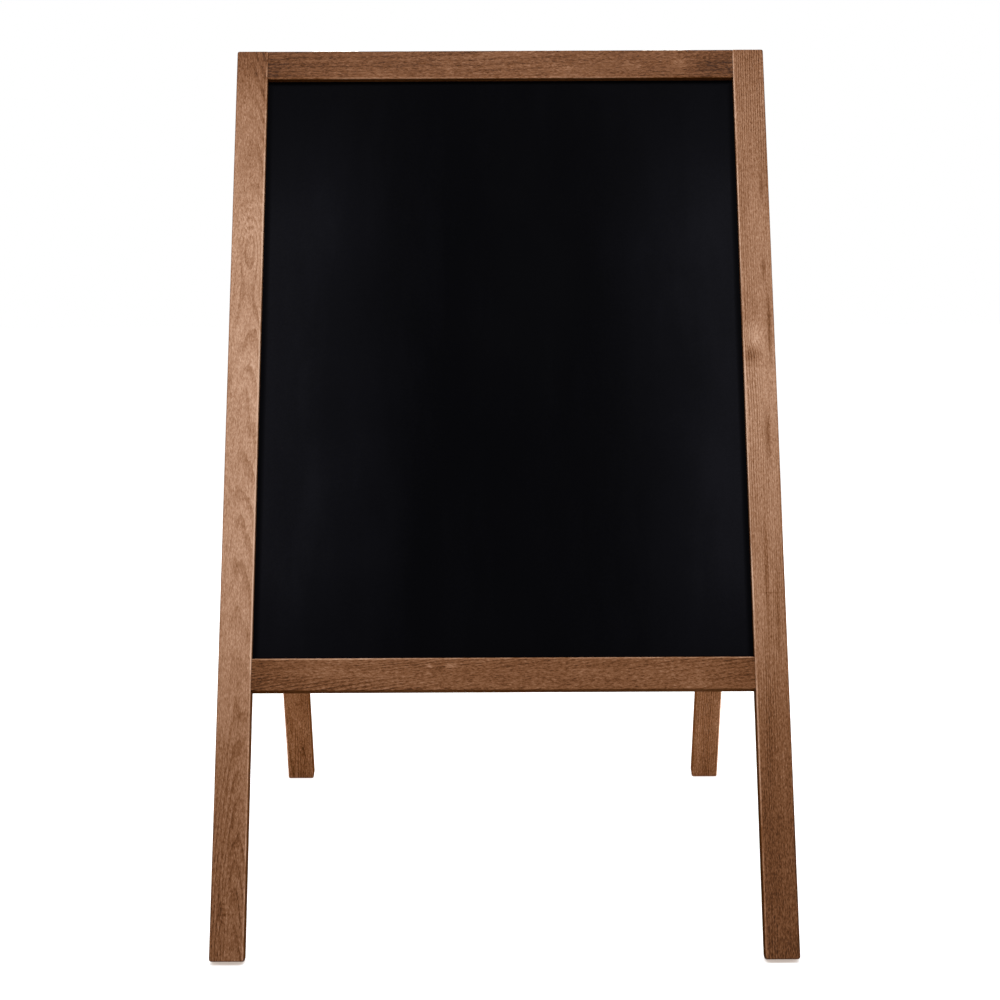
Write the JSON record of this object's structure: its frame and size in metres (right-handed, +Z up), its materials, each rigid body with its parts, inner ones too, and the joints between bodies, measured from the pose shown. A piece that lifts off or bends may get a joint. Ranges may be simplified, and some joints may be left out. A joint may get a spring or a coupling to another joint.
{
  "type": "sandwich board",
  "caption": "Folding A-frame sandwich board with dark stained timber frames, recessed black chalkboards, top butt hinges and folding steel stays.",
  "frame": {"origin": "on the floor, midway between the four feet and straight under the hinge axis", "axes": "+Z up; +X to the right as seen from the front; the front frame leans towards -Y"},
  "size_m": [0.6, 0.7542, 0.9515],
  "materials": {
    "stained_wood": "satin",
    "chalkboard": "matte",
    "beech_dowel": "matte",
    "hinge_steel": "satin",
    "stay_steel": "satin",
    "screw_steel": "satin"
  },
  "bodies": {
    "front_frame": {"front_bottom_rail": "stained_wood", "front_chalkboard": "chalkboard", "front_dowels": "beech_dowel", "front_left_stile": "stained_wood", "front_right_stile": "stained_wood", "front_top_rail": "stained_wood", "hinge_left_front_leaf": "hinge_steel", "hinge_left_front_screws": "screw_steel", "hinge_left_pin": "hinge_steel", "hinge_right_front_leaf": "hinge_steel", "hinge_right_front_screws": "screw_steel", "hinge_right_pin": "hinge_steel", "stay_left_front_bracket": "stay_steel", "stay_left_front_pivot_rivet": "stay_steel", "stay_left_front_screws": "screw_steel", "stay_right_front_bracket": "stay_steel", "stay_right_front_pivot_rivet": "stay_steel", "stay_right_front_screws": "screw_steel"},
    "rear_frame": {"hinge_left_rear_leaf": "hinge_steel", "hinge_left_rear_screws": "screw_steel", "hinge_right_rear_leaf": "hinge_steel", "hinge_right_rear_screws": "screw_steel", "rear_bottom_rail": "stained_wood", "rear_chalkboard": "chalkboard", "rear_dowels": "beech_dowel", "rear_left_stile": "stained_wood", "rear_right_stile": "stained_wood", "rear_top_rail": "stained_wood", "stay_left_rear_bracket": "stay_steel", "stay_left_rear_pivot_rivet": "stay_steel", "stay_left_rear_screws": "screw_steel", "stay_right_rear_bracket": "stay_steel", "stay_right_rear_pivot_rivet": "stay_steel", "stay_right_rear_screws": "screw_steel"},
    "stay_left_front": {"stay_left_front_arm": "stay_steel", "stay_left_front_elbow_rivet": "stay_steel"},
    "stay_left_rear": {"stay_left_rear_arm": "stay_steel", "stay_left_rear_elbow_rivet": "stay_steel"},
    "stay_right_front": {"stay_right_front_arm": "stay_steel", "stay_right_front_elbow_rivet": "stay_steel"},
    "stay_right_rear": {"stay_right_rear_arm": "stay_steel", "stay_right_rear_elbow_rivet": "stay_steel"}
  },
  "joints": [
    {"name": "fold", "type": "hinge", "parent": "front_frame", "child": "rear_frame", "pos_m": [0, 0, 0.94528], "axis": [-1, 0, 0], "range_deg": [0, 40.8]},
    {"name": "stay_left_front_pivot", "type": "hinge", "parent": "front_frame", "child": "stay_left_front", "pos_m": [-0.284, -0.15686, 0.52351], "axis": [1, 0, 0], "range_deg": [0, 69.6]},
    {"name": "stay_left_rear_pivot", "type": "hinge", "parent": "rear_frame", "child": "stay_left_rear", "pos_m": [-0.284, 0.15686, 0.52351], "axis": [-1, 0, 0], "range_deg": [0, 69.6]},
    {"name": "stay_right_front_pivot", "type": "hinge", "parent": "front_frame", "child": "stay_right_front", "pos_m": [0.284, -0.15686, 0.52351], "axis": [1, 0, 0], "range_deg": [0, 69.6]},
    {"name": "stay_right_rear_pivot", "type": "hinge", "parent": "rear_frame", "child": "stay_right_rear", "pos_m": [0.284, 0.15686, 0.52351], "axis": [-1, 0, 0], "range_deg": [0, 69.6]}
  ],
  "couplings": [
    {"joint": "stay_left_front_pivot", "follows": "fold", "ratio": 1.7059},
    {"joint": "stay_left_rear_pivot", "follows": "fold", "ratio": 1.7059},
    {"joint": "stay_right_front_pivot", "follows": "fold", "ratio": 1.7059},
    {"joint": "stay_right_rear_pivot", "follows": "fold", "ratio": 1.7059}
  ]
}
